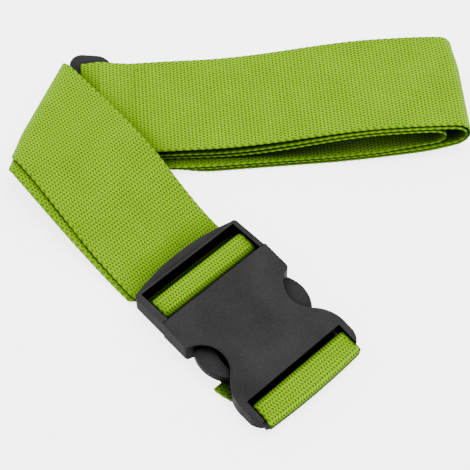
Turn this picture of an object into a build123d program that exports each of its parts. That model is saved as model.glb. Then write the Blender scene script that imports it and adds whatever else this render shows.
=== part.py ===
from build123d import *
import os
from math import cos, radians, sin

os.makedirs("parts", exist_ok=True)

# A 50 mm luggage strap, folded as it is sold: one length of webbing laid to and fro in a
# pile, folded over at an angle, and run through a side-release buckle.
# Row frame: +X along the buckle from the plug to the socket, +Z up, the strap lies on Z = 0.
# The origin is at the middle of the folded strap's outline, on the surface it lies on.

# ---- driving dimensions, mm ----
strap_width = 50.0
strap_thickness = 1.2
layer_pitch = 1.3            # one lap lies on the next
pile_heading = 52.2          # degrees from the buckle's axis to the pile's
mouth_x = 35.8              # the middle of the socket's mouth
mouth_y = -69.16
pile_offset = 94.4           # from the mouth's middle to the pile's centre line

# the pile
pile_right_end = 118.6
loop_height = 9.3            # height of the middle of the right-hand loops
inner_loop_setback = 5.0
raised_from = 20.0           # where the upper laps start to rise towards the loops
raised_to = 62.0
lap_joint = 66.0             # where an upper run meets the lap of the right-hand loop

# the angled fold
fold_line_x = -107.0         # where the strap's centre line starts to bend
diagonal_lowest = 13.8       # underside of the lowest diagonal run at the fold
slope_start_x = -77.0
slope_end_x = -27.0

# the adjuster, a three-bar slide
bar_width = 4.0
bar_thickness = 2.2
bar_spacing = 7.6
adjuster_u = -48.6
adjuster_z = 9.3
adjuster_tilt = 12.0
adjuster_half_length = 9.6
adjuster_half_width = 32.0
adjuster_opening = 25.6

# the buckle
base_z = 2.8                 # underside of both buckle halves
mouth_top_z = 14.6
slot_edge_x = 47.2
slot_edge_top_z = 11.4
shell_half_width = 28.4
wall = 1.7
opening_half_width = 25.4
plug_half_width = 28.0
arch_z = (4.9, 10.8)
arch_inner_x = -17.1
plug_bar_x = (-9.6, -3.8)
plug_bar_z = (5.75, 9.75)
cross_wall_x = -1.4
end_bar_x = (51.3, 59.8)
shell_end_x = 60.2
end_bar_z = (4.15, 7.75)
shell_rim_chamfer = 0.5
arm_z = (4.9, 9.3)
arm_root = (5.2, 19.4)

half_width = strap_width / 2
half_thickness = strap_thickness / 2
lap_gap = 0.05

heading = radians(pile_heading)
along_pile = Vector(cos(heading), sin(heading), 0)
across_pile = Vector(-sin(heading), cos(heading), 0)
fold_angle = radians(90 - pile_heading / 2)
along_fold = Vector(cos(fold_angle), -sin(fold_angle), 0)
out_of_fold = Vector(-sin(fold_angle), -cos(fold_angle), 0)

mouth = Vector(mouth_x, mouth_y, 0)
pile_origin = mouth + across_pile * pile_offset
fold_origin = mouth + Vector(fold_line_x, 0, 0)

PLAN = Plane(origin=mouth, x_dir=(1, 0, 0), z_dir=(0, 0, 1))
BUCKLE_SIDE = Plane(origin=mouth, x_dir=(1, 0, 0), z_dir=(0, -1, 0))
PILE_SIDE = Plane(origin=pile_origin, x_dir=along_pile, z_dir=across_pile * -1)
FOLD_START = Plane(origin=fold_origin, x_dir=along_fold, z_dir=out_of_fold * -1)


def layer_z(number):
    """Height of the middle of a lap, counted from the surface up."""
    return half_thickness + (number - 1) * layer_pitch


def lay_webbing(side_plane, corners, radii, name, cut=None):
    """One flat stretch of the strap, bent along the corners of its route, cut at a fold."""
    with BuildPart() as run:
        with BuildSketch(side_plane):
            with BuildLine():
                FilletPolyline(*corners, radius=radii)
            trace(line_width=strap_thickness)
        extrude(amount=half_width, both=True)
        if cut:
            split(bisect_by=cut, keep=Keep.TOP)
    run.part.label = name
    export_step(run.part, f"parts/{name}.step")
    return run


# ---- the pile: three lower runs, the right-hand loops and the laps above them ----
top_z = {1: 2 * loop_height - layer_z(1), 2: 2 * loop_height - layer_z(2), 3: 2 * loop_height - layer_z(3)}
loop_end = {1: pile_right_end, 2: pile_right_end - layer_pitch,
            3: pile_right_end - 2 * layer_pitch - inner_loop_setback}
lap_names = {1: "webbing_outer_lap", 2: "webbing_middle_lap", 3: "webbing_inner_lap"}
pile_left = -80.0            # past the fold, where the lower runs are cut

for lap, name in lap_names.items():
    radius = (top_z[lap] - layer_z(lap)) / 2
    right = loop_end[lap] - half_thickness
    lap_route = [(lap_joint, top_z[lap]), (right, top_z[lap]), (right, layer_z(lap)),
                 (pile_left, layer_z(lap))]
    lay_webbing(PILE_SIDE, lap_route, [radius - 0.001] * 2, name, cut=FOLD_START)

# The upper runs, from the adjuster to the laps: they lie low, then rise to the loops.
low_z = {1: 9.8, 2: 6.2, 3: layer_z(4)}
run_start = {1: -22.0, 2: -30.0, 3: -30.0}
run_names = {1: "webbing_outer_run", 2: "webbing_middle_run", 3: "webbing_inner_run"}

for lap, name in run_names.items():
    rise = [(run_start[lap], low_z[lap]), (raised_from, low_z[lap]), (raised_to, top_z[lap]),
            (lap_joint, top_z[lap])]
    lay_webbing(PILE_SIDE, rise, [30.0, 30.0], name)

# ---- the adjuster: a moulded three-bar slide, tilted where it sits among the laps ----
tilt = radians(adjuster_tilt)
adjuster_centre = pile_origin + along_pile * adjuster_u + Vector(0, 0, adjuster_z)
ADJUSTER = Plane(origin=adjuster_centre,
                 x_dir=along_pile * cos(tilt) - Vector(0, 0, sin(tilt)),
                 z_dir=along_pile * sin(tilt) + Vector(0, 0, cos(tilt)))


def on_adjuster(along, up):
    """A point given from the adjuster's own middle, in the pile's side view."""
    return (adjuster_u + along * cos(tilt) + up * sin(tilt),
            adjuster_z - along * sin(tilt) + up * cos(tilt))


slot_width = bar_spacing - bar_width
loop_slot_width = 2.2        # the sewn loop needs less room than the running strap
with BuildPart() as adjuster:
    with BuildSketch(ADJUSTER):
        RectangleRounded(2 * adjuster_half_length, 2 * adjuster_half_width, 6.5)
        with Locations((bar_spacing / 2, 0)):
            RectangleRounded(slot_width, 2 * adjuster_opening, 0.5, mode=Mode.SUBTRACT)
        with Locations((-(bar_width + loop_slot_width) / 2, 0)):
            RectangleRounded(loop_slot_width, 2 * adjuster_opening, 0.5, mode=Mode.SUBTRACT)
    extrude(amount=bar_thickness / 2, both=True)
    flat_faces = adjuster.faces().sort_by(Axis(ADJUSTER.origin, ADJUSTER.z_dir))
    fillet(flat_faces[-1].edges() + flat_faces[0].edges(), 0.6)
adjuster.part.label = "adjuster"
export_step(adjuster.part, "parts/adjuster.step")

# The sewn end of the strap goes round the middle bar and is stitched back on itself.
loop_up = bar_thickness / 2 + lap_gap + half_thickness
loop_along = bar_width / 2 + lap_gap + half_thickness
tail_up = loop_up + strap_thickness + 2 * lap_gap
run_up = tail_up + layer_pitch + 0.15
tail_z = 8.1
sewn_end_route = [
    (run_start[1], low_z[1]),
    (-31.0, low_z[1]),
    on_adjuster(9.8, run_up),
    on_adjuster(3.4, run_up),
    on_adjuster(-loop_along, loop_up),
    on_adjuster(-loop_along, -loop_up),
    on_adjuster(loop_along, -loop_up),
    on_adjuster(loop_along, tail_up),
    on_adjuster(9.8, tail_up),
    (-31.5, tail_z),
    (-23.0, tail_z),
]
sewn_end_radii = [6.0, 4.0, 1.6, 1.2, 0.9, 0.9, 1.0, 3.0, 6.0]
lay_webbing(PILE_SIDE, sewn_end_route, sewn_end_radii, "webbing_adjuster_end")

# The running part of the strap goes round the right-hand bar.
threaded_route = [
    (run_start[2], low_z[2]),
    (-33.0, low_z[2]),
    on_adjuster(bar_spacing + 2.0, loop_up),
    on_adjuster(bar_spacing - loop_along, loop_up),
    on_adjuster(bar_spacing - loop_along, -loop_up),
    on_adjuster(bar_spacing + 2.2, -loop_up),
    (-35.0, low_z[3]),
    (run_start[3], low_z[3]),
]
lay_webbing(PILE_SIDE, threaded_route, [4.0, 2.5, 1.2, 1.2, 6.0, 8.0], "webbing_adjuster_bend")

# ---- the angled fold: three nested bends between the pile and the diagonal runs ----
fold_z = {1: diagonal_lowest + 2 * layer_pitch + half_thickness,
          2: diagonal_lowest + layer_pitch + half_thickness,
          3: diagonal_lowest + half_thickness}
fold_names = {1: "webbing_outer_fold", 2: "webbing_middle_fold", 3: "webbing_inner_fold"}
fold_from, fold_to = -19.0, 27.0   # along the fold, clear of the adjuster's corner
fold_middle = fold_origin + along_fold * ((fold_from + fold_to) / 2)
FOLD_END = Plane(origin=fold_middle, x_dir=out_of_fold, z_dir=along_fold * -1)

for lap, name in fold_names.items():
    middle_z = (fold_z[lap] + layer_z(lap)) / 2
    with BuildPart() as bend:
        with BuildSketch(FOLD_END):
            with BuildLine():
                CenterArc((0, middle_z), fold_z[lap] - middle_z, -90, 180)
            trace(line_width=strap_thickness)
        extrude(amount=(fold_to - fold_from) / 2, both=True)
    bend.part.label = name
    export_step(bend.part, f"parts/{name}.step")

# ---- the diagonal runs ----
diagonal_start = -135.0
plug_loop_top = plug_bar_z[1] + lap_gap + half_thickness
plug_loop_left = plug_bar_x[0] - lap_gap - half_thickness
plug_loop_right = plug_bar_x[1] + lap_gap + half_thickness
diagonal_route = [
    (diagonal_start, fold_z[1]),
    (slope_start_x, fold_z[1]),
    (slope_end_x, layer_z(3)),
    (plug_loop_left, layer_z(3)),
    (plug_loop_left, plug_loop_top),
    (plug_loop_right, plug_loop_top),
    (plug_loop_right, layer_z(2)),
    (slope_end_x, layer_z(2)),
    (slope_start_x, fold_z[2]),
    (diagonal_start, fold_z[2]),
]
lay_webbing(BUCKLE_SIDE, diagonal_route, [25, 25, 1.5, 2.0, 2.0, 2.0, 24, 26],
            "webbing_diagonal_lap", cut=FOLD_START)

lower_run_end = 8.0
lower_route = [(diagonal_start, fold_z[3]), (slope_start_x, fold_z[3]), (slope_end_x, layer_z(1)),
               (lower_run_end, layer_z(1))]
lay_webbing(BUCKLE_SIDE, lower_route, [27, 23], "webbing_lower_run", cut=FOLD_START)

# The socket's end of the strap goes round the end bar and is stitched back under the socket.
end_loop_right = end_bar_x[1] + 0.3 + half_thickness
end_loop_left = end_bar_x[0] - lap_gap - half_thickness
end_loop_top = end_bar_z[1] + lap_gap + half_thickness
socket_tail_x = 11.0
socket_end_route = [
    (lower_run_end, layer_z(1)),
    (end_loop_right - 4.0, layer_z(1)),
    (end_loop_right, 3.6),
    (end_loop_right, end_loop_top),
    (end_loop_left, end_loop_top),
    (end_loop_left, layer_z(2)),
    (socket_tail_x, layer_z(2)),
]
lay_webbing(BUCKLE_SIDE, socket_end_route, [3.5, 2.5, 2.2, 1.6, 1.6], "webbing_socket_end")

# ---- the stitching, where the strap is sewn back on itself ----
seam_width = 1.6
seam_length = 43.0
seam_height = 0.2


def box_seam(plane, spacing, name):
    """A closed box of stitches: two rows across the strap, joined along its edges."""
    with BuildPart() as seam:
        with BuildSketch(plane):
            RectangleRounded(spacing + seam_width, seam_length, 0.7)
            Rectangle(spacing - seam_width, seam_length - 2 * seam_width, mode=Mode.SUBTRACT)
        extrude(amount=seam_height)
    seam.part.label = name
    export_step(seam.part, f"parts/{name}.step")


run_top = low_z[1] + half_thickness
ADJUSTER_SEAM = Plane(origin=pile_origin + along_pile * -26.4 + Vector(0, 0, run_top),
                      x_dir=along_pile, z_dir=(0, 0, 1))
SOCKET_SEAM = Plane(origin=mouth + Vector(26, 0, layer_z(2) + half_thickness), z_dir=(0, 0, 1))
box_seam(ADJUSTER_SEAM, 5.0, "stitching_adjuster")
box_seam(SOCKET_SEAM, 20.0, "stitching_socket")

# ---- the plug: frame, bars, cross wall and guide tongue ----
plug_side = [(-24.0, 4.0), (-21.0, base_z), (5.0, base_z), (5.0, mouth_top_z - 0.2), (-0.3, mouth_top_z - 0.2),
             (-18.2, 12.4), (-19.4, 10.8), (-24.0, 10.8)]
with BuildPart() as plug_frame:
    with BuildSketch(PLAN):
        with BuildLine():
            ThreePointArc((-19.4, 25.8), (-22.7, 0), (-19.4, -25.8))
            ThreePointArc((-19.4, -25.8), (-18.6, -27.4), (-16.8, -plug_half_width))
            Line((-16.8, -plug_half_width), (-0.3, -plug_half_width))
            Line((-0.3, -plug_half_width), (-0.3, plug_half_width))
            Line((-0.3, plug_half_width), (-16.8, plug_half_width))
            ThreePointArc((-16.8, plug_half_width), (-18.6, 27.4), (-19.4, 25.8))
        make_face()
    extrude(amount=mouth_top_z)
    with BuildSketch(BUCKLE_SIDE):
        Polygon(*plug_side, align=None)
    extrude(amount=30, both=True, mode=Mode.INTERSECT)
    top_edges = plug_frame.faces().filter_by(Axis.Y).edges().filter_by(Axis.Z, reverse=True)
    fillet(top_edges.group_by(Axis.Z)[-1], 1.0)
    # the opening for the strap
    with BuildSketch(PLAN):
        with Locations(((arch_inner_x + 6) / 2, 0)):
            Rectangle(6 - arch_inner_x, 2 * opening_half_width)
    extrude(amount=20, mode=Mode.SUBTRACT)
    # the arched bar is thinner than the rails
    with BuildSketch(PLAN):
        with Locations(((arch_inner_x - 26) / 2, 0)):
            Rectangle(26 + arch_inner_x, 2 * opening_half_width)
    extrude(amount=arch_z[0], mode=Mode.SUBTRACT)
    # the middle bar that the strap goes round
    with BuildSketch(BUCKLE_SIDE):
        with Locations(((plug_bar_x[0] + plug_bar_x[1]) / 2, (plug_bar_z[0] + plug_bar_z[1]) / 2)):
            RectangleRounded(plug_bar_x[1] - plug_bar_x[0], plug_bar_z[1] - plug_bar_z[0], 1.5)
    extrude(amount=opening_half_width + 0.5, both=True)
    # the cross wall that closes the mouth and carries the arms
    with BuildSketch(PLAN.offset(4.7)):
        with Locations(((cross_wall_x + arm_root[0]) / 2, 0)):
            Rectangle(arm_root[0] - cross_wall_x, 2 * (opening_half_width - 0.6))
        with Locations(((cross_wall_x - 0.3) / 2, 0)):
            Rectangle(-0.3 - cross_wall_x, 2 * plug_half_width - 2)
    extrude(amount=7.3)
    # the guide tongue between the arms
    with BuildSketch(PLAN.offset(6.0)):
        with BuildLine():
            Polyline((arm_root[0] - 1, -5.5), (26, -4.2), (31, -2.0), (31, 2.0), (26, 4.2),
                     (arm_root[0] - 1, 5.5), close=True)
        make_face()
    extrude(amount=3.2)
plug_frame.part.label = "plug_frame"
export_step(plug_frame.part, "parts/plug_frame.step")


# ---- the two sprung arms ----
def arm_outline(side):
    """Plan of one arm: a slim beam, then a finger pad that stands out of the socket's window."""
    root_x, root_y = arm_root
    with BuildLine() as outline:
        Polyline((root_x + 0.02, side * (root_y - 1.7)), (root_x + 0.02, side * (root_y + 1.7)),
                 (15.9, side * 21.6), (15.9, side * 26.0))
        ThreePointArc((15.9, side * 26.0), (24.0, side * 27.6), (34.0, side * 23.2))
        Line((34.0, side * 23.2), (37.6, side * 20.6))
        Line((37.6, side * 20.6), (36.6, side * 18.8))
        ThreePointArc((36.6, side * 18.8), (29.0, side * 20.4), (21.0, side * 18.6))
        Line((21.0, side * 18.6), (root_x + 0.02, side * (root_y - 1.7)))
    return outline.line


for side, name in ((1, "arm_left"), (-1, "arm_right")):
    with BuildPart() as arm:
        with BuildSketch(PLAN.offset(arm_z[0])):
            add(arm_outline(side))
            make_face()
        extrude(amount=arm_z[1] - arm_z[0])
        fillet(arm.edges().filter_by(Axis.Z).group_by(Axis.X)[-1], 0.8)
    arm.part.label = name
    export_step(arm.part, f"parts/{name}.step")

# ---- the socket: a flat shell, open at the mouth, with a window on each side ----
shell_side = [(0, base_z), (0, mouth_top_z), (slot_edge_x, slot_edge_top_z), (58.0, 10.0), (61.5, 8.2),
              (61.5, 4.4), (58.5, base_z)]
cavity_side = [(-1, base_z + wall), (-1, mouth_top_z - 1.9), (43.0, slot_edge_top_z - 1.6),
               (43.0, base_z + wall)]
shell_top = [(-1, mouth_top_z + 0.07), (slot_edge_x, slot_edge_top_z), (58.0, 10.0), (61.5, 8.2)]


def upper_rim(solid, outline):
    """Edges of a block's upper face that follow its plan, but not the ones straight across it."""
    def height(x):
        for (x0, z0), (x1, z1) in zip(outline, outline[1:]):
            if x0 <= x <= x1:
                return z0 + (z1 - z0) * (x - x0) / (x1 - x0)
        return outline[-1][1]

    rim = ShapeList()
    for edge in solid.edges():
        points = [edge @ 0.02, edge @ 0.5, edge @ 0.98]
        near_top = all(abs(p.Z - height(p.X - mouth_x)) < 0.15 for p in points)
        across = abs(points[0].X - points[2].X) < 0.01
        if near_top and not across:
            rim.append(edge)
    return rim


with BuildPart() as socket_shell:
    with BuildSketch(PLAN):
        with BuildLine():
            for side in (1, -1):
                Line((0, 0), (0, side * shell_half_width))
                Line((0, side * shell_half_width), (13.0, side * shell_half_width))
                ThreePointArc((13.0, side * shell_half_width), (14.2, side * 27.9), (14.7, side * 26.8))
                ThreePointArc((14.7, side * 26.8), (23.6, side * 19.0), (34.2, side * 22.6))
                ThreePointArc((34.2, side * 22.6), (39.6, side * 26.8), (48.5, side * 28.5))
                Line((48.5, side * 28.5), (51.0, side * 28.5))
                ThreePointArc((51.0, side * 28.5), (56.1, side * 26.9), (58.5, side * 23.3))
            ThreePointArc((58.5, 23.3), (shell_end_x, 0), (58.5, -23.3))
        make_face()
    extrude(amount=mouth_top_z)
    with BuildSketch(BUCKLE_SIDE):
        Polygon(*shell_side, align=None)
    extrude(amount=30, both=True, mode=Mode.INTERSECT)
    chamfer(upper_rim(socket_shell, shell_top), shell_rim_chamfer)
    # the cavity for the arms
    with BuildSketch(BUCKLE_SIDE):
        Polygon(*cavity_side, align=None)
    extrude(amount=opening_half_width - 0.4, both=True, mode=Mode.SUBTRACT)
    # the opening for the strap, crossed by the round-edged end bar
    with BuildSketch(PLAN):
        with Locations(((slot_edge_x + 70) / 2, 0)):
            Rectangle(70 - slot_edge_x, 2 * opening_half_width)
    extrude(amount=20, mode=Mode.SUBTRACT)
    with BuildSketch(BUCKLE_SIDE):
        with Locations(((end_bar_x[0] + end_bar_x[1]) / 2, (end_bar_z[0] + end_bar_z[1]) / 2)):
            RectangleRounded(end_bar_x[1] - end_bar_x[0], end_bar_z[1] - end_bar_z[0], 1.7)
    extrude(amount=opening_half_width + 0.5, both=True)
socket_shell.part.label = "socket_shell"
export_step(socket_shell.part, "parts/socket_shell.step")
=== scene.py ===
import math

import bpy
import numpy as np
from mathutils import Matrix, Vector


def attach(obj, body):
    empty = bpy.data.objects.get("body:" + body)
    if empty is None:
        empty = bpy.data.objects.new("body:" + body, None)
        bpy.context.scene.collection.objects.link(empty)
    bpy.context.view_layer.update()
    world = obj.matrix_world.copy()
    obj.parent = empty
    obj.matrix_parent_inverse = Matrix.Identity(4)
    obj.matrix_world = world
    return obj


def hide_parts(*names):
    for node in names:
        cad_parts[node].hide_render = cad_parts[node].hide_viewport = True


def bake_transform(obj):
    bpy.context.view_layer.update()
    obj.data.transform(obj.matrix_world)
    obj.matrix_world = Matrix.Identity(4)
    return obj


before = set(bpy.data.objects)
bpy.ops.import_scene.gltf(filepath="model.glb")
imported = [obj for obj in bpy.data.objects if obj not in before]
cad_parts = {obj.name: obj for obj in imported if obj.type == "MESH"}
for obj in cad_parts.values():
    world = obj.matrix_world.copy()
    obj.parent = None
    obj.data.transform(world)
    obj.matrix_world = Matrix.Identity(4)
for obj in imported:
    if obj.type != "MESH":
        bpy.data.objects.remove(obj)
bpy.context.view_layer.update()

# ---- 1. the webbing's cloth ----
# Woven polypropylene, 50 mm wide and 1.2 mm thick: yarns lie in slanting pairs that read as
# small chevrons, with a pin-hole between each pair, and the selvage is a finer, rope-like edge.
# Every length of the strap is the same cloth, so all of them share this material.
# The relief is painted into the colour too: painted shade in pin-holes and gaps, painted highlight on
# crests.


def maths(tree, operation, *values, clamp=False):
    """One arithmetic node: each value is a number or the output of another node."""
    node = tree.nodes.new("ShaderNodeMath")
    node.operation = operation
    node.use_clamp = clamp
    for socket, value in zip(node.inputs, values):
        if isinstance(value, bpy.types.NodeSocket):
            tree.links.new(value, socket)
        else:
            socket.default_value = value
    return node.outputs[0]


def noise(tree, vector, scale, detail=2.0):
    """A noise texture's plain value, about 0.5 on average."""
    node = tree.nodes.new("ShaderNodeTexNoise")
    node.inputs["Scale"].default_value = scale
    node.inputs["Detail"].default_value = detail
    tree.links.new(vector, node.inputs["Vector"])
    return node.outputs[0]


def swing(tree, value, amount):
    """A noise value turned into a swing about nothing, amount from end to end."""
    return maths(tree, "MULTIPLY", maths(tree, "SUBTRACT", value, 0.5), amount)


def ramp(tree, value, stops):
    """A colour ramp from (position, linear colour) stops."""
    node = tree.nodes.new("ShaderNodeValToRGB")
    tree.links.new(value, node.inputs[0])
    elements = node.color_ramp.elements
    while len(elements) < len(stops):
        elements.new(0.5)
    for element, (position, colour) in zip(elements, stops):
        element.position = position
        element.color = (*colour, 1.0)
    return node.outputs[0]


def paint_shade(tree, colour, shadow_colour, socket, reach, depth, side_shade):
    """Painted shade: sinks a colour to shadow_colour in gaps under reach metres and on faces not
    looking up.
    """
    shelter = tree.nodes.new("ShaderNodeAmbientOcclusion")
    shelter.samples = 8
    shelter.inputs["Distance"].default_value = reach
    open_sky = maths(tree, "POWER", shelter.outputs["AO"], depth)
    geometry = tree.nodes.new("ShaderNodeNewGeometry")
    parts = tree.nodes.new("ShaderNodeSeparateXYZ")
    tree.links.new(geometry.outputs["Normal"], parts.inputs[0])
    # a face within about 45 degrees of level counts as looking up
    upward = maths(tree, "MULTIPLY_ADD", parts.outputs[2], 1.6, -0.1, clamp=True)
    # faces that don't look up get painted shade, down to side_shade of their colour
    side = maths(tree, "MULTIPLY_ADD", upward, 1.0 - side_shade, side_shade)
    amount = maths(tree, "MULTIPLY", open_sky, side)
    mix = tree.nodes.new("ShaderNodeMix")
    mix.data_type = "RGBA"
    mix.inputs["A"].default_value = (*shadow_colour, 1.0)
    tree.links.new(amount, mix.inputs["Factor"])
    tree.links.new(colour, mix.inputs["B"])
    tree.links.new(mix.outputs["Result"], socket)


half_width = 25.0        # mm, as every length here until it goes into a mesh
yarn_pitch = 1.34        # between neighbouring yarns, across the strap
course_length = 1.62     # the strap taken by each slanting row
yarn_slant = 0.66        # how many yarns a row leans over
yarn_wander = 0.7        # how far a yarn strays sideways, from end to end
yarn_gap = 0.45          # how deep the gap between two yarns is, with a yarn's crest as 1
yarn_gap_at_ends = 0.75  # how much deeper that is where two rows meet
row_groove = 0.20        # the groove between one row and the next
selvage_width = 1.235
selvage_height = 0.66
selvage_twist = 0.16
fibre_tone, cloudy_tone = 0.25, 0.22
fibre_relief = 0.12
weave_height = 0.0004    # m, from a pin-hole's bottom to a yarn's crest
gap_reach = 0.013        # m, the widest gap that gets painted shade


def weave_cloth(name, shadow_colour, hole_shade, yarn, crest_highlight):
    """The woven cloth, laid out by the UV map in millimetres: X across the strap, Y along it."""
    material = bpy.data.materials.new(name)
    material.use_nodes = True
    tree = material.node_tree
    shader = tree.nodes["Principled BSDF"]
    uv = tree.nodes.new("ShaderNodeUVMap")
    uv.uv_map = "webbing"
    split = tree.nodes.new("ShaderNodeSeparateXYZ")
    tree.links.new(uv.outputs[0], split.inputs[0])
    wander = swing(tree, noise(tree, uv.outputs[0], 0.35), yarn_wander)
    across = maths(tree, "ADD", split.outputs[0], wander)
    along = split.outputs[1]

    # the rows: every second one leans the other way
    course = maths(tree, "DIVIDE", along, course_length)
    in_course = maths(tree, "FRACT", course)
    side = maths(tree, "FRACT", maths(tree, "MULTIPLY", maths(tree, "FLOOR", course), 0.5))
    lean = maths(tree, "SUBTRACT", maths(tree, "MULTIPLY", side, 4.0), 1.0)
    centred = maths(tree, "SUBTRACT", in_course, 0.5)
    slant = maths(tree, "MULTIPLY", maths(tree, "MULTIPLY", centred, lean), yarn_slant)
    row = maths(tree, "ADD", maths(tree, "DIVIDE", across, yarn_pitch), slant)
    in_row = maths(tree, "FRACT", row)
    rounded = maths(tree, "SINE", maths(tree, "MULTIPLY", in_row, math.pi))
    ends = maths(tree, "ABSOLUTE", maths(tree, "MULTIPLY", centred, 2.0))
    ends = maths(tree, "POWER", ends, 2.0)
    between = maths(tree, "POWER", maths(tree, "SUBTRACT", 1.0, rounded), 1.3)
    gap_depth = maths(tree, "MULTIPLY_ADD", ends, yarn_gap_at_ends, yarn_gap)
    pin_hole = maths(tree, "MULTIPLY", between, gap_depth)
    relief = maths(tree, "SUBTRACT", 1.0, pin_hole)
    relief = maths(tree, "SUBTRACT", relief, maths(tree, "MULTIPLY", ends, row_groove))

    # the selvage: the last millimetre or so is a twisted edge
    from_edge = maths(tree, "SUBTRACT", half_width, maths(tree, "ABSOLUTE", split.outputs[0]))
    turns = maths(tree, "MULTIPLY", along, math.pi / course_length)
    twist = maths(tree, "SINE", maths(tree, "ADD", turns, split.outputs[0]))
    rope = maths(tree, "ADD", maths(tree, "MULTIPLY", twist, selvage_twist), selvage_height)
    is_edge = maths(tree, "LESS_THAN", from_edge, selvage_width)
    plain = maths(tree, "MULTIPLY", relief, maths(tree, "SUBTRACT", 1.0, is_edge))
    relief = maths(tree, "ADD", plain, maths(tree, "MULTIPLY", rope, is_edge))

    fibre = noise(tree, uv.outputs[0], 6.0, 3.0)
    cloudy = noise(tree, uv.outputs[0], 0.06, 2.0)
    tone = maths(tree, "ADD", relief, swing(tree, fibre, fibre_tone))
    tone = maths(tree, "ADD", tone, swing(tree, cloudy, cloudy_tone))
    # the relief painted as colour: painted shade in the pin-holes, a painted highlight on the crests
    colour = ramp(tree, tone, [(0.22, hole_shade), (0.62, yarn), (1.0, crest_highlight)])
    # and painted shade in gaps and on faces that don't look up
    paint_shade(tree, colour, shadow_colour, shader.inputs["Base Color"], gap_reach, depth=2.2, side_shade=0.12)
    shader.inputs["Roughness"].default_value = 0.8
    shader.inputs["Specular IOR Level"].default_value = 0.04
    bump = tree.nodes.new("ShaderNodeBump")
    bump.inputs["Strength"].default_value = 0.75
    bump.inputs["Distance"].default_value = weave_height
    lifted = maths(tree, "ADD", relief, maths(tree, "MULTIPLY", fibre, fibre_relief))
    tree.links.new(lifted, bump.inputs["Height"])
    tree.links.new(bump.outputs[0], shader.inputs["Normal"])
    return material


# the pin-hole's colour is painted shade, the crest's a painted highlight
cloth = weave_cloth("lime_webbing", shadow_colour=(0.002, 0.012, 0.001), hole_shade=(0.018, 0.070, 0.0),
                    yarn=(0.112, 0.262, 0.0), crest_highlight=(0.225, 0.450, 0.0))

# ---- 2. the strap's laps, fold and diagonal ----
# The strap is laid to and fro in a pile, its loops at the right end, then folded over at an angle
# and led diagonally to the plug, round the plug's bar and back. It is one length of webbing, held
# only by the buckle and the slide.

MM = 0.001
half_thickness = 0.6
layer_pitch = 1.3                       # one lap lies on the next
mouth = np.array([35.8, -69.16, 0.0])   # the middle of the socket's mouth, on the floor
pile_heading = 52.2                     # degrees from the buckle's axis to the pile's
heading = math.radians(pile_heading)
pile_dir = np.array([math.cos(heading), math.sin(heading), 0.0])
pile_side = np.array([-math.sin(heading), math.cos(heading), 0.0])
fold_angle = math.radians(90 - pile_heading / 2)
fold_dir = np.array([math.cos(fold_angle), -math.sin(fold_angle), 0.0])
fold_out = np.array([-math.sin(fold_angle), -math.cos(fold_angle), 0.0])
fold_origin = np.array([-111.2, 0.0, 0.0])
up = np.array([0.0, 0.0, 1.0])
step = 0.7                              # mm between the cross sections of a length of webbing

# one cross section: points across the strap, and half its thickness at each, thinner at the edges
flat_half = 23.4
edge_widths = [24.3, 24.8, half_width]
flat_widths = np.linspace(-flat_half, flat_half, 31)
widths = np.concatenate([-np.array(edge_widths[::-1]), flat_widths, edge_widths])
heights = np.interp(np.abs(widths), [0, flat_half, *edge_widths],
                    [half_thickness, half_thickness, 0.56, 0.36, 0.0])
mid_column = len(widths) // 2
wave_out, wave_thick = 0.11, 0.14       # the selvage's ripple: sideways, and as a share of its height


def smooth(t):
    """An easy step from 0 to 1, level at both ends."""
    t = np.clip(t, 0.0, 1.0)
    return t * t * (3 - 2 * t)


def layer_z(number):
    """Height of the middle of a lap, counted from the floor up."""
    return half_thickness + (number - 1) * layer_pitch


def resample(points, spacing=step, soften=0.0):
    """Evenly spaced points along a line, with its corners softened by a running mean."""
    points = np.asarray(points, float)
    gaps = np.linalg.norm(np.diff(points, axis=0), axis=1)
    points = points[np.concatenate([[True], gaps > 1e-6])]
    s = np.concatenate([[0], np.cumsum(np.linalg.norm(np.diff(points, axis=0), axis=1))])
    count = max(int(round(s[-1] / spacing)), 2)
    even = np.linspace(0, s[-1], count + 1)
    line = np.column_stack([np.interp(even, s, points[:, i]) for i in range(points.shape[1])])
    if soften:
        reach = max(int(round(soften / spacing)), 1)
        kernel = np.hanning(2 * reach + 3)[1:-1]
        kernel /= kernel.sum()
        ends = [line[:1] * 2 - line[1:reach + 1][::-1], line[-1:] * 2 - line[-reach - 1:-1][::-1]]
        longer = np.vstack([ends[0], line, ends[1]])
        columns = [np.convolve(longer[:, i], kernel, "valid") for i in range(line.shape[1])]
        line = np.column_stack(columns)
    return even, line


def rounded_line(corners, radii):
    """A line through the corners, each one rounded to its radius, as closely spaced points."""
    corners = [np.array(c, float) for c in corners]
    points = [corners[0]]
    for before, corner, after, radius in zip(corners, corners[1:], corners[2:], radii):
        back = (before - corner) / np.linalg.norm(before - corner)
        on = (after - corner) / np.linalg.norm(after - corner)
        half = math.acos(float(np.clip(back @ on, -1, 1))) / 2
        if math.pi / 2 - half < 1e-4:
            continue
        centre = corner + (back + on) / np.linalg.norm(back + on) * radius / math.sin(half)
        start = corner + back * radius / math.tan(half) - centre
        end = corner + on * radius / math.tan(half) - centre
        turn = math.atan2(start[0] * end[1] - start[1] * end[0], start @ end)
        for angle in np.linspace(0, turn, max(int(abs(turn) * radius / 0.15), 4)):
            c, s = math.cos(angle), math.sin(angle)
            turned = np.array([c * start[0] - s * start[1], s * start[0] + c * start[1]])
            points.append(centre + turned)
    points.append(corners[-1])
    return np.array(points)


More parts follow.
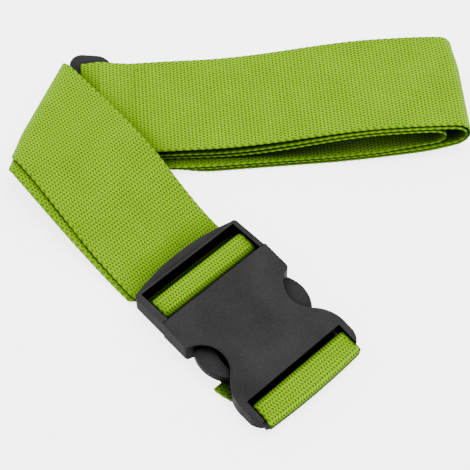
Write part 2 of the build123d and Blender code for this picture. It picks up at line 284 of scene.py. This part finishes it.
def webbing(name, surface, s):
    """A closed band of cloth about its middle surface, which is rows of points across the strap."""
    along = np.gradient(surface, axis=0)
    over = np.gradient(surface, axis=1)
    normal = np.cross(along, over)
    normal /= np.linalg.norm(normal, axis=2, keepdims=True)
    # both selvages ripple a little with the rows of the weave
    turn = np.pi * s / course_length
    outward = over / np.linalg.norm(over, axis=2, keepdims=True)
    edge = np.clip((np.abs(widths) - flat_half) / (half_width - flat_half), 0, 1) * np.sign(widths)
    surface = surface + outward * (wave_out * np.sin(turn)[:, None] * edge[None, :])[:, :, None]
    thick = heights[None, :] * (1 + wave_thick * np.cos(turn)[:, None] * np.abs(edge))
    # closed rings round the band, one after another along it, and a face at each cut end
    top = surface + normal * thick[:, :, None]
    under = surface[:, 1:-1] - normal[:, 1:-1] * thick[:, 1:-1, None]
    rings = np.concatenate([top, under[:, ::-1]], axis=1)
    count, ring = rings.shape[0], rings.shape[1]
    vertices = rings.reshape(-1, 3) * MM
    i = np.arange(count - 1)[:, None] * ring
    j = np.arange(ring)[None, :]
    k = (j + 1) % ring
    quads = np.stack([i + j, i + k, i + ring + k, i + ring + j], axis=2).reshape(-1, 4)
    faces = quads.tolist()
    faces.append(list(range(ring - 1, -1, -1)))
    faces.append([(count - 1) * ring + n for n in range(ring)])
    mesh = bpy.data.meshes.new(name)
    mesh.from_pydata(vertices.tolist(), [], faces)
    # the weave's place on the cloth: across the strap and along it
    ring_width = np.concatenate([widths, widths[1:-1][::-1]])
    u = np.tile(ring_width, count)
    v = np.repeat(s, ring)
    loops = np.empty(len(mesh.loops), np.int32)
    mesh.loops.foreach_get("vertex_index", loops)
    layer = mesh.uv_layers.new(name="webbing")
    layer.data.foreach_set("uv", np.column_stack([u[loops], v[loops]]).astype(np.float32).ravel())
    mesh.polygons.foreach_set("use_smooth", [True] * (len(faces) - 2) + [False, False])
    mesh.materials.append(cloth)
    # the cut ends are crisp
    pairs = np.empty(2 * len(mesh.edges), np.int32)
    mesh.edges.foreach_get("vertices", pairs)
    rows = pairs.reshape(-1, 2) // ring
    cut_ends = (rows[:, 0] == rows[:, 1]) & ((rows[:, 0] == 0) | (rows[:, 0] == count - 1))
    mesh.edges.foreach_set("use_edge_sharp", cut_ends.tolist())
    mesh.update()
    piece = bpy.data.objects.new(name, mesh)
    bpy.context.scene.collection.objects.link(piece)
    return piece


# the pile, seen from its side: the upper run, the right-hand loop and the lower run of each lap,
# lap 1 being the outermost
lap_low = {1: 10.4, 2: 6.8, 3: 4.6}             # an upper run's height beside the slide
lap_high = {1: 18.3, 2: 16.9, 3: 15.5}          # and at the loops
rise_end = 82.0                                 # where it has risen all the way
sag, sag_start, sag_length = 1.1, 88, 25        # it hangs a little just before the loop
lift, lift_start, lift_length = 4.4, 55, 55     # a lower run leaves the floor towards the loop
loop_end = {1: 117.9, 2: 116.4, 3: 107.2}
loop_radius = 6.5
run_side = {1: 93.8, 2: 92.9, 3: 92.4}          # how far out an upper run lies from the socket's mouth
lower_side = {1: 90.4, 2: 90.7, 3: 91.0}        # a lower run, at the loops
middle_side = {1: 89.2, 2: 89.6, 3: 90.0}       # in the middle of the pile
fold_side = {1: 99.8, 2: 93.2, 3: 91.8}         # and at the fold
lean_start, lean_to_loop, lean_to_fold = 5, 100, 55
lap_joint = 66.0                                # where an upper run's cloth meets the loop's
lower_joint = 40.0                              # and the loop's meets the lower run's
swing_start, swing_length = 45, 35              # a loop swings from one run's line to the other's
corner_from = 8                                 # the loops' far corners are drawn in, from here out
corner_start, corner_length, corner_pull = 98, 20, 1.3


def upper_z(lap, u):
    """Height of an upper run: low beside the slide, rising to the loops, then sagging a little."""
    droop = sag * np.clip((u - sag_start) / sag_length, 0, 1) ** 2
    return lap_low[lap] + (lap_high[lap] - lap_low[lap]) * smooth(u / rise_end) - droop


def lower_z(lap, u):
    """Height of a lower run: flat on the floor, lifting towards the loops."""
    return layer_z(lap) + lift * np.clip((u - lift_start) / lift_length, 0, 1.1) ** 1.6


def pile_surface(line, side):
    """Middle surface over a side view of the pile, side being how far the centre line lies out."""
    centre = mouth + line[:, :1] * pile_dir + line[:, 1:2] * up + side[:, None] * pile_side
    return centre[:, None, :] + widths[None, :, None] * pile_side


def pile_lean(lap, u):
    """How far out a lower run lies: the lower runs aren't quite in line with the upper ones."""
    to_loop = np.clip((u - lean_start) / lean_to_loop, 0, 1)
    side = middle_side[lap] + (lower_side[lap] - middle_side[lap]) * to_loop
    return side + (fold_side[lap] - middle_side[lap]) * smooth((lean_start - u) / lean_to_fold)


def loop_surface(lap):
    """From the upper run's joint, round the right-hand loop, to the lower run's joint."""
    turn_u = loop_end[lap] - loop_radius
    upper = np.linspace(lap_joint, turn_u, 60)
    lower = np.linspace(turn_u, lower_joint, 90)
    z_top, z_bottom = float(upper_z(lap, turn_u)), float(lower_z(lap, turn_u))
    angle = np.linspace(math.pi / 2, -math.pi / 2, 60)[1:-1]
    loop = np.column_stack([turn_u + loop_radius * np.cos(angle),
                            (z_top + z_bottom) / 2 + (z_top - z_bottom) / 2 * np.sin(angle)])
    points = np.vstack([np.column_stack([upper, upper_z(lap, upper)]), loop,
                        np.column_stack([lower, lower_z(lap, lower)])])
    s, line = resample(points, soften=2.0)
    share = smooth((s - swing_start) / swing_length)
    side = run_side[lap] + (pile_lean(lap, line[:, 0]) - run_side[lap]) * share
    surface = pile_surface(line, side)
    far_side = smooth((widths - corner_from) / (half_width - corner_from))
    at_loop = smooth((line[:, 0] - corner_start) / corner_length)
    far_corner = far_side[None, :] * at_loop[:, None]
    return s, surface - corner_pull * far_corner[:, :, None] * pile_dir


# the angled fold, and the diagonal runs that slope down to the buckle
fold_top = {1: 17.0, 2: 15.6, 3: 14.3}
buckle_level = {1: layer_z(3), 2: layer_z(2), 3: layer_z(1)}
slope_end = -24.0                              # where a diagonal run is down at its level
slope_from, slope_skew = -89.0, 0.55           # where it starts to fall, and how skew that line is
diagonal_side = {1: -1.3, 2: -3.2, 3: -2.9}    # how far a run lies off the buckle's axis
diagonal_fan = {1: 0.0, 2: -1.9, 3: -1.8}      # how much further at the fold
fan_length = 70
settle_start, settle_length = -104, 60         # a folded run comes into line over this stretch
buckle_side = 0.45                             # the webbing lies off the middle of the bars
under_side = 3.4                               # the lowest run lies a little askew under the plug
sideways_turn = 6                              # how soon a run moves over beside the plug
fold_corner, corner_reach = 1.6, 7             # the fold's near corner is rounded, not sharp,
rounded_from = 12                              # from here to the strap's edge


def diagonal_z(lap, x, y):
    """The strap leaves the pile's slanting edge, so its far edge stays up longer than its near one."""
    slope_start = slope_from + slope_skew * y
    share = smooth((x - slope_end) / (slope_start - slope_end))
    return buckle_level[lap] + (fold_top[lap] - buckle_level[lap]) * share


def fold_surface(lap, u):
    """The lower run led on flat past the fold, then wrapped round it on to the diagonal."""
    side = pile_lean(lap, u)
    flat = u[:, None, None] * pile_dir + (side[:, None] + widths[None, :])[:, :, None] * pile_side
    flat = flat - fold_origin
    past = flat @ fold_out
    beside = flat @ fold_dir
    radius = (fold_top[lap] - layer_z(lap)) / 2
    level = (fold_top[lap] + layer_z(lap)) / 2
    angle = np.clip(past / radius, 0, math.pi)
    over = np.clip(past - math.pi * radius, 0, None)
    out = np.where(past < 0, past, radius * np.sin(angle)) - over
    place = fold_origin + beside[:, :, None] * fold_dir + out[:, :, None] * fold_out
    z = level - radius * np.cos(angle)
    x, y = place[:, :, 0], place[:, :, 1]
    mid_x = x[:, mid_column]
    settle = smooth((mid_x - settle_start) / settle_length) * (past[:, mid_column] > math.pi * radius)
    aim = diagonal_side[lap] + diagonal_fan[lap] * np.clip((slope_end - mid_x) / fan_length, 0, 1)
    shift = settle * (aim - y[:, mid_column])
    y = y + shift[:, None]
    z = np.where(over > 0, diagonal_z(lap, x, y) + (z - fold_top[lap]), z)
    near_side = smooth((-widths - rounded_from) / (half_width - rounded_from))
    on_crease = np.exp(-((past - math.pi * radius / 2) / corner_reach) ** 2)
    corner = near_side[None, :] * on_crease
    return np.stack([x, y, z], axis=2) + mouth - fold_corner * corner[:, :, None] * fold_out


def along_diagonal(lap, x_end):
    """Pile positions from the lower joint, past the fold, to where the diagonal reaches x_end."""
    u = lower_joint - np.arange(0, 400, step)
    reached = fold_surface(lap, u)[:, mid_column, 0] - mouth[0]
    turned = np.argmin(reached)
    last = turned + np.argmax(reached[turned:] > x_end)
    return u[:last]


def buckle_surface(line, side):
    """Middle surface over a side view of the buckle."""
    centre = mouth + np.column_stack([line[:, 0], np.full(len(line), side), line[:, 1]])
    return centre[:, None, :] + widths[None, :, None] * np.array([0.0, 1.0, 0.0])


def join(parts):
    """Runs of cloth end to end: each run is (its own lengths, its surface)."""
    lengths, surfaces, total = [], [], 0.0
    for s, surface in parts:
        if surfaces:
            total += float(np.linalg.norm(surface[0, mid_column] - surfaces[-1][-1, mid_column]))
        lengths.append(s - s[0] + total)
        surfaces.append(surface)
        total = lengths[-1][-1]
    return np.concatenate(lengths), np.vstack(surfaces)


def backwards(run):
    """The same run of cloth, followed from its other end."""
    s, surface = run
    return s[-1] - s[::-1], surface[::-1]


loops = {lap: loop_surface(lap) for lap in (1, 2, 3)}
folds = {}
inner_end = -70.0        # the inner lap's cloth stops on the diagonal, where the lowest run's starts
for lap, x_end in ((1, slope_end), (2, slope_end), (3, inner_end)):
    u = along_diagonal(lap, x_end)[1:]
    folds[lap] = (lower_joint - u, fold_surface(lap, u))

# up over the plug's bar, down behind it and back underneath
over_bar = 11.3
plug_route = rounded_line([
    (slope_end, buckle_level[1]), (-16.0, buckle_level[1]), (-11.6, over_bar), (-2.2, over_bar),
    (-2.2, buckle_level[2]), (slope_end, buckle_level[2])], [1.6, 2.6, 2.4, 2.0])
loop_s, loop_line = resample(plug_route, 0.45)
near_plug = smooth((loop_line[:, 0] - slope_end) / sideways_turn)
travel = np.linspace(diagonal_side[1], diagonal_side[2], len(loop_s))
drift = travel + (buckle_side - travel) * near_plug
plug_surface = buckle_surface(loop_line, 0.0)
plug_surface[:, :, 1] += drift[:, None]
s, surface = join([loops[1], folds[1], (loop_s, plug_surface),
                   backwards(folds[2]), backwards(loops[2])])
strap_start = 100.0      # lengths run on from piece to piece, so that the weave does too
strap = webbing("webbing_laps_and_diagonal", surface, s + strap_start)
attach(strap, "strap")
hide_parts("webbing_outer_lap", "webbing_outer_fold", "webbing_diagonal_lap",
            "webbing_middle_fold", "webbing_middle_lap")
middle_end = s[-1] + strap_start

inner_s, inner_surface = join([loops[3], folds[3]])
inner_start = middle_end + 200.0
inner = webbing("webbing_inner_lap_and_fold", inner_surface, inner_s + inner_start)
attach(inner, "strap")
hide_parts("webbing_inner_lap", "webbing_inner_fold")

# the lowest diagonal run, which carries on under the buckle
under_start, under_end = -66.0, 8.0
u = along_diagonal(3, slope_end)
under = fold_surface(3, u)
off_end = np.abs(under[:, mid_column, 0] - inner_surface[-1, mid_column, 0])
first = np.argmin(off_end + 1e3 * (u > -70))       # only past the fold, not on the way to it
flat_x = np.arange(under[-1, mid_column, 0] - mouth[0] + step, under_end + step, step)
flat_line = np.column_stack([flat_x, np.full(len(flat_x), layer_z(1))])
flat = buckle_surface(flat_line, 0.0)
askew = (under_side - diagonal_side[3]) * smooth((flat_x - slope_end) / sideways_turn)
flat[:, :, 1] += (diagonal_side[3] + askew)[:, None]
under_s, under_surface = join([(lower_joint - u[first:], under[first:]), (flat_x, flat)])
lower = webbing("webbing_under_buckle", under_surface, under_s + inner_start + inner_s[-1])
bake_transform(lower)
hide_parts("webbing_lower_run")

# ---- 3. the upper runs, from the slide to the loops ----
# Three plies of the same webbing lie over one another between the slide and the right-hand loops,
# loose but for the slide. They rise to the loops.

run_start = {1: -22.0, 2: -30.0, 3: -30.0}
slide_side = 94.8                       # how far out the webbing lies in the slide
side_start, side_length = -25, 70       # where it comes over to its own line
run_names = {1: "webbing_outer_run", 2: "webbing_middle_run", 3: "webbing_inner_run"}
run_from = {}
for lap, node in run_names.items():
    count = len(np.arange(run_start[lap], lap_joint + 0.01, step))
    u = np.linspace(run_start[lap], lap_joint, count)
    line = np.column_stack([u, upper_z(lap, u)])
    upper_s = np.concatenate([[0], np.cumsum(np.linalg.norm(np.diff(line, axis=0), axis=1))])
    side = slide_side + (run_side[lap] - slide_side) * smooth((u - side_start) / side_length)
    upper_surface = pile_surface(line, side)
    joint_s = {1: strap_start, 2: middle_end, 3: inner_start}[lap]
    direction = 1.0 if lap != 2 else -1.0
    run_s = joint_s + direction * (upper_s - upper_s[-1])
    run_from[lap] = run_s[0]
    piece = webbing(node + "_cloth", upper_surface, run_s)
    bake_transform(piece)
    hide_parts(node)

# ---- 4. the slide and the webbing round its bars ----
# A moulded three-bar slide, tilted where it sits in the pile. The strap's sewn end goes round the
# middle bar and is stitched back under itself; the running part goes round the right-hand bar.

slide_u, slide_z = -48.6, 9.3           # the middle of the slide, in the pile's side view
slide_tilt = math.radians(12.0)


def on_slide(along, above):
    """A point of the pile's side view, given along and above the tilted slide's own plane."""
    return (slide_u + along * math.cos(slide_tilt) + above * math.sin(slide_tilt),
            slide_z - along * math.sin(slide_tilt) + above * math.cos(slide_tilt))


# over the right-hand bar, round the middle one, and back over the right-hand one as the sewn tail
sewn_route = rounded_line([
    (-22.0, lap_low[1]), (-31.0, lap_low[1]), on_slide(9.8, 4.5), on_slide(3.4, 4.5),
    on_slide(-4.6, 1.75), on_slide(-4.6, -1.75), on_slide(2.65, -1.75), on_slide(2.65, 3.05),
    on_slide(9.8, 3.05), (-31.5, 8.25), (-23.0, 8.25)],
    [6.0, 4.0, 1.6, 1.2, 0.9, 0.9, 1.0, 3.0, 6.0])
sewn_s, line = resample(sewn_route, 0.4)
sewn_surface = pile_surface(line, np.full(len(line), slide_side))
sewn_end = webbing("webbing_sewn_end", sewn_surface, run_from[1] - sewn_s)
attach(sewn_end, "adjuster")
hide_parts("webbing_adjuster_end")

threaded_route = rounded_line([
    (-30.0, lap_low[2]), (-33.0, lap_low[2]), on_slide(9.6, 1.75), on_slide(4.95, 1.75),
    on_slide(4.95, -1.75), on_slide(9.8, -1.75), (-35.0, lap_low[3]), (-30.0, lap_low[3])],
    [4.0, 2.5, 1.2, 1.2, 6.0, 8.0])
threaded_s, line = resample(threaded_route, 0.4)
threaded_surface = pile_surface(line, np.full(len(line), slide_side))
threaded = webbing("webbing_threaded_bend", threaded_surface, run_from[2] + threaded_s)
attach(threaded, "adjuster")
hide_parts("webbing_adjuster_bend")

# ---- 5. the strap's end round the socket's bar ----
# The other end of the strap comes out from under the buckle, goes up round the socket's end bar,
# down through the slot, and is sewn back on itself under the socket.

under_level, tail_level = layer_z(1), layer_z(2)
socket_route = rounded_line([
    (under_end, under_level), (56.4, under_level), (60.5, 3.4), (60.6, 8.2), (49.2, 9.1),
    (49.2, tail_level), (31.0, tail_level)], [3.5, 2.8, 2.6, 1.8, 1.6])
socket_s, line = resample(socket_route, 0.45)
socket_surface = buckle_surface(line, buckle_side)
straighten = 30                         # the run under the plug lies askew, and straightens over this
tail_swing, tail_length = 4.4, 20       # the tail was sewn down askew
askew = (under_side - buckle_side) * smooth(1 - socket_s / straighten)
tail = tail_swing * smooth((socket_s - socket_s[-1] + tail_length) / tail_length)
socket_surface[:, :, 1] += (askew - tail)[:, None]
# the bar bows outwards in the middle, and the strap follows it
bow = 0.9 * smooth((line[:, 0] - 54) / 6)
socket_surface[:, :, 0] -= bow[:, None] * (widths[None, :] / half_width) ** 2
socket_start = inner_start + inner_s[-1] + under_s[-1]
socket_end = webbing("webbing_socket_loop", socket_surface, socket_s + socket_start)
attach(socket_end, "socket")
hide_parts("webbing_socket_end")

# ---- 6. the stitching ----
# Both ends of the strap are sewn down with a box of lockstitches in polyester thread of the strap's
# colour. Each stitch is a short thread that lies almost flush and dips into the cloth at both ends.

thread = bpy.data.materials.new("lime_thread")
thread.use_nodes = True
tree = thread.node_tree
shader = tree.nodes["Principled BSDF"]
position = tree.nodes.new("ShaderNodeTexCoord")
twist = tree.nodes.new("ShaderNodeTexWave")
twist.inputs["Scale"].default_value = 900.0
twist.inputs["Distortion"].default_value = 1.5
tree.links.new(position.outputs["Object"], twist.inputs["Vector"])
thread_colour = ramp(tree, twist.outputs[1], [(0.0, (0.100, 0.235, 0.0)), (1.0, (0.160, 0.330, 0.0))])
tree.links.new(thread_colour, shader.inputs["Base Color"])
shader.inputs["Roughness"].default_value = 0.7
shader.inputs["Specular IOR Level"].default_value = 0.04
bump = tree.nodes.new("ShaderNodeBump")
bump.inputs["Distance"].default_value = 0.0001
tree.links.new(twist.outputs[1], bump.inputs["Height"])
tree.links.new(bump.outputs[0], shader.inputs["Normal"])

stitch_length, stitch_gap = 2.6, 0.2
stitch_margin = 0.06                    # how much of its share of the row a stitch leaves free
stitch_radius = 0.18
stitch_arch, stitch_sink = 0.13, 0.12   # how high its middle rises, and how deep its ends sink
row_inset = 0.8
rings, sides = 9, 8


def stitches(name, centre, x_dir, y_dir, spacing, length, node, body):
    """A box of stitches: rows across the strap at both ends, joined along the strap's edges."""
    half_x, half_y = spacing / 2, length / 2 - row_inset
    corners = [(-half_x, -half_y), (-half_x, half_y), (half_x, half_y), (half_x, -half_y),
               (-half_x, -half_y)]
    vertices, faces = [], []
    for (x0, y0), (x1, y1) in zip(corners, corners[1:]):
        run = math.hypot(x1 - x0, y1 - y0)
        count = max(int(round(run / (stitch_length + stitch_gap))), 1)
        way = ((x1 - x0) * x_dir + (y1 - y0) * y_dir) / run
        beside = np.cross(up, way)
        for n in range(count):
            start, end = (n + stitch_margin) / count, (n + 1 - stitch_margin) / count
            first = len(vertices)
            for along in np.linspace(0, 1, rings):
                share = start + (end - start) * along
                x, y = x0 + (x1 - x0) * share, y0 + (y1 - y0) * share
                arch = math.sin(math.pi * along)
                lifted = up * (stitch_arch * arch - stitch_sink)
                middle = centre + x * x_dir + y * y_dir + lifted
                radius = stitch_radius * (0.45 + 0.55 * arch)       # thinner where it dips in
                for angle in np.linspace(0, 2 * math.pi, sides + 1)[:-1]:
                    spoke = math.cos(angle) * beside + math.sin(angle) * up
                    vertices.append((middle + radius * spoke) * MM)
            for ring in range(first, first + (rings - 1) * sides, sides):
                for a in range(sides):
                    b = (a + 1) % sides
                    faces.append((ring + a, ring + b, ring + sides + b, ring + sides + a))
            last = first + (rings - 1) * sides
            faces.append([first + a for a in range(sides - 1, -1, -1)])
            faces.append([last + a for a in range(sides)])
    mesh = bpy.data.meshes.new(name)
    mesh.from_pydata([tuple(v) for v in vertices], [], faces)
    mesh.polygons.foreach_set("use_smooth", [True] * len(mesh.polygons))
    mesh.materials.append(thread)
    piece = bpy.data.objects.new(name, mesh)
    bpy.context.scene.collection.objects.link(piece)
    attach(piece, body)
    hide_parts(node)
    return piece


row_length = 43.0
slide_seam = mouth + pile_dir * -26.4 + pile_side * slide_side + up * (lap_low[1] + half_thickness)
stitches("stitches_at_slide", slide_seam, pile_dir, pile_side, 5.0, row_length,
         "stitching_adjuster", "adjuster")
socket_seam = mouth + np.array([41.0, -0.6, 2.5])
stitches("stitches_at_socket", socket_seam, np.array([1.0, 0, 0]), np.array([0, 1.0, 0]), 12.0,
         row_length, "stitching_socket", "socket")

# ---- 7. the mouldings: plug, arms, socket and slide ----
# Charcoal acetal, injection moulded, with a fine spark-eroded grain and edges broken by the mould.
# The plug's arms are one with its frame; the socket is a flat shell cored out from its mouth.
# Shade is painted into their colour in the slots and on faces that don't look up.

fine_grain, broad_patches = 0.55, 0.45  # their shares of the colour's unevenness
grain_height = 0.00006                  # m
broken_edge = 0.0007                    # m, the radius of the mould's edges
slot_reach = 0.010                      # m, the widest slot that gets painted shade


def moulded(name, shadow_colour, dark, light, gloss, grain):
    """A grained plastic, its colour between dark and light, with painted shade in its slots and on its
    sides.
    """
    material = bpy.data.materials.new(name)
    material.use_nodes = True
    tree = material.node_tree
    shader = tree.nodes["Principled BSDF"]
    position = tree.nodes.new("ShaderNodeTexCoord")
    fine = noise(tree, position.outputs["Object"], 2600.0, 2.0)
    broad = noise(tree, position.outputs["Object"], 60.0, 3.0)
    patches = maths(tree, "MULTIPLY", broad, broad_patches)
    tone = maths(tree, "ADD", maths(tree, "MULTIPLY", fine, fine_grain), patches)
    colour = ramp(tree, tone, [(0.38, dark), (0.62, light)])
    # painted shade in the slots and on faces that don't look up
    paint_shade(tree, colour, shadow_colour, shader.inputs["Base Color"], slot_reach, depth=1.3, side_shade=0.10)
    shader.inputs["Specular IOR Level"].default_value = gloss
    shine = maths(tree, "ADD", maths(tree, "MULTIPLY", broad, 0.16), 0.40)
    tree.links.new(shine, shader.inputs["Roughness"])
    soft_edge = tree.nodes.new("ShaderNodeBevel")
    soft_edge.samples = 6
    soft_edge.inputs["Radius"].default_value = broken_edge
    bump = tree.nodes.new("ShaderNodeBump")
    bump.inputs["Strength"].default_value = grain
    bump.inputs["Distance"].default_value = grain_height
    tree.links.new(fine, bump.inputs["Height"])
    tree.links.new(soft_edge.outputs[0], bump.inputs["Normal"])
    tree.links.new(bump.outputs[0], shader.inputs["Normal"])
    return material


charcoal = moulded("charcoal_moulding", shadow_colour=(0.0008, 0.0008, 0.0009), dark=(0.0185, 0.0183, 0.0189),
                   light=(0.0345, 0.0340, 0.0350), gloss=0.01, grain=0.9)
for node in ("plug_frame", "arm_left", "arm_right", "socket_shell", "adjuster"):
    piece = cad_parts[node]
    for material_slot in piece.material_slots:
        material_slot.material = charcoal

# ---- 8. floor, light and camera ----
# A sweep of white paper, lit so that it glows a little itself, under large soft lights overhead,
# so that the strap's shadows on it are faint. The camera looks down from in front and to the left.

floor_mesh = bpy.data.meshes.new("floor")
reach = 3.0
corners = [(-reach, -reach, 0), (reach, -reach, 0), (reach, reach, 0), (-reach, reach, 0)]
floor_mesh.from_pydata(corners, [], [(0, 1, 2, 3)])
floor = bpy.data.objects.new("floor", floor_mesh)
floor.location.z = -0.0002
bpy.context.scene.collection.objects.link(floor)
paper = bpy.data.materials.new("white_sweep")
paper.use_nodes = True
shader = paper.node_tree.nodes["Principled BSDF"]
shader.inputs["Base Color"].default_value = (0.95, 0.95, 0.95, 1)
shader.inputs["Roughness"].default_value = 0.9
shader.inputs["Specular IOR Level"].default_value = 0.1
shader.inputs["Emission Color"].default_value = (1, 1, 1, 1)
shader.inputs["Emission Strength"].default_value = 3.4
floor_mesh.materials.append(paper)

world = bpy.data.worlds.new("studio")
world.use_nodes = True
sky = world.node_tree.nodes["Background"]
sky.inputs["Color"].default_value = (1.0, 1.0, 1.0, 1)
sky.inputs["Strength"].default_value = 1.1
bpy.context.scene.world = world


def soft_light(name, place, aim, size, power):
    """A round soft box, size metres across, at place and turned to aim."""
    lamp = bpy.data.lights.new(name, "AREA")
    lamp.shape = "DISK"
    lamp.size = size
    lamp.energy = power
    light = bpy.data.objects.new(name, lamp)
    light.location = place
    light.rotation_euler = (Vector(aim) - Vector(place)).to_track_quat("-Z", "Y").to_euler()
    bpy.context.scene.collection.objects.link(light)


soft_light("overhead", (0.1, 0.35, 1.1), (0, 0, 0), 0.9, 15.0)
soft_light("left_fill", (-0.9, -0.2, 0.8), (0, 0, 0), 0.7, 5.0)

azimuth, elevation = math.radians(47.7), math.radians(58.8)
distance = 605.0         # mm
look = np.array([-math.sin(azimuth) * math.cos(elevation), math.cos(azimuth) * math.cos(elevation),
                 -math.sin(elevation)])
target = mouth + np.array([-17.9, 27.43, 0.0])
camera_data = bpy.data.cameras.new("camera")
camera_data.lens = 107.23
camera_data.sensor_width = 36.0
camera_data.clip_start = 0.01
camera = bpy.data.objects.new("camera", camera_data)
camera.location = Vector((target - look * distance) * MM)
camera.rotation_euler = Vector(look).to_track_quat("-Z", "Y").to_euler()
bpy.context.scene.collection.objects.link(camera)
bpy.context.scene.camera = camera
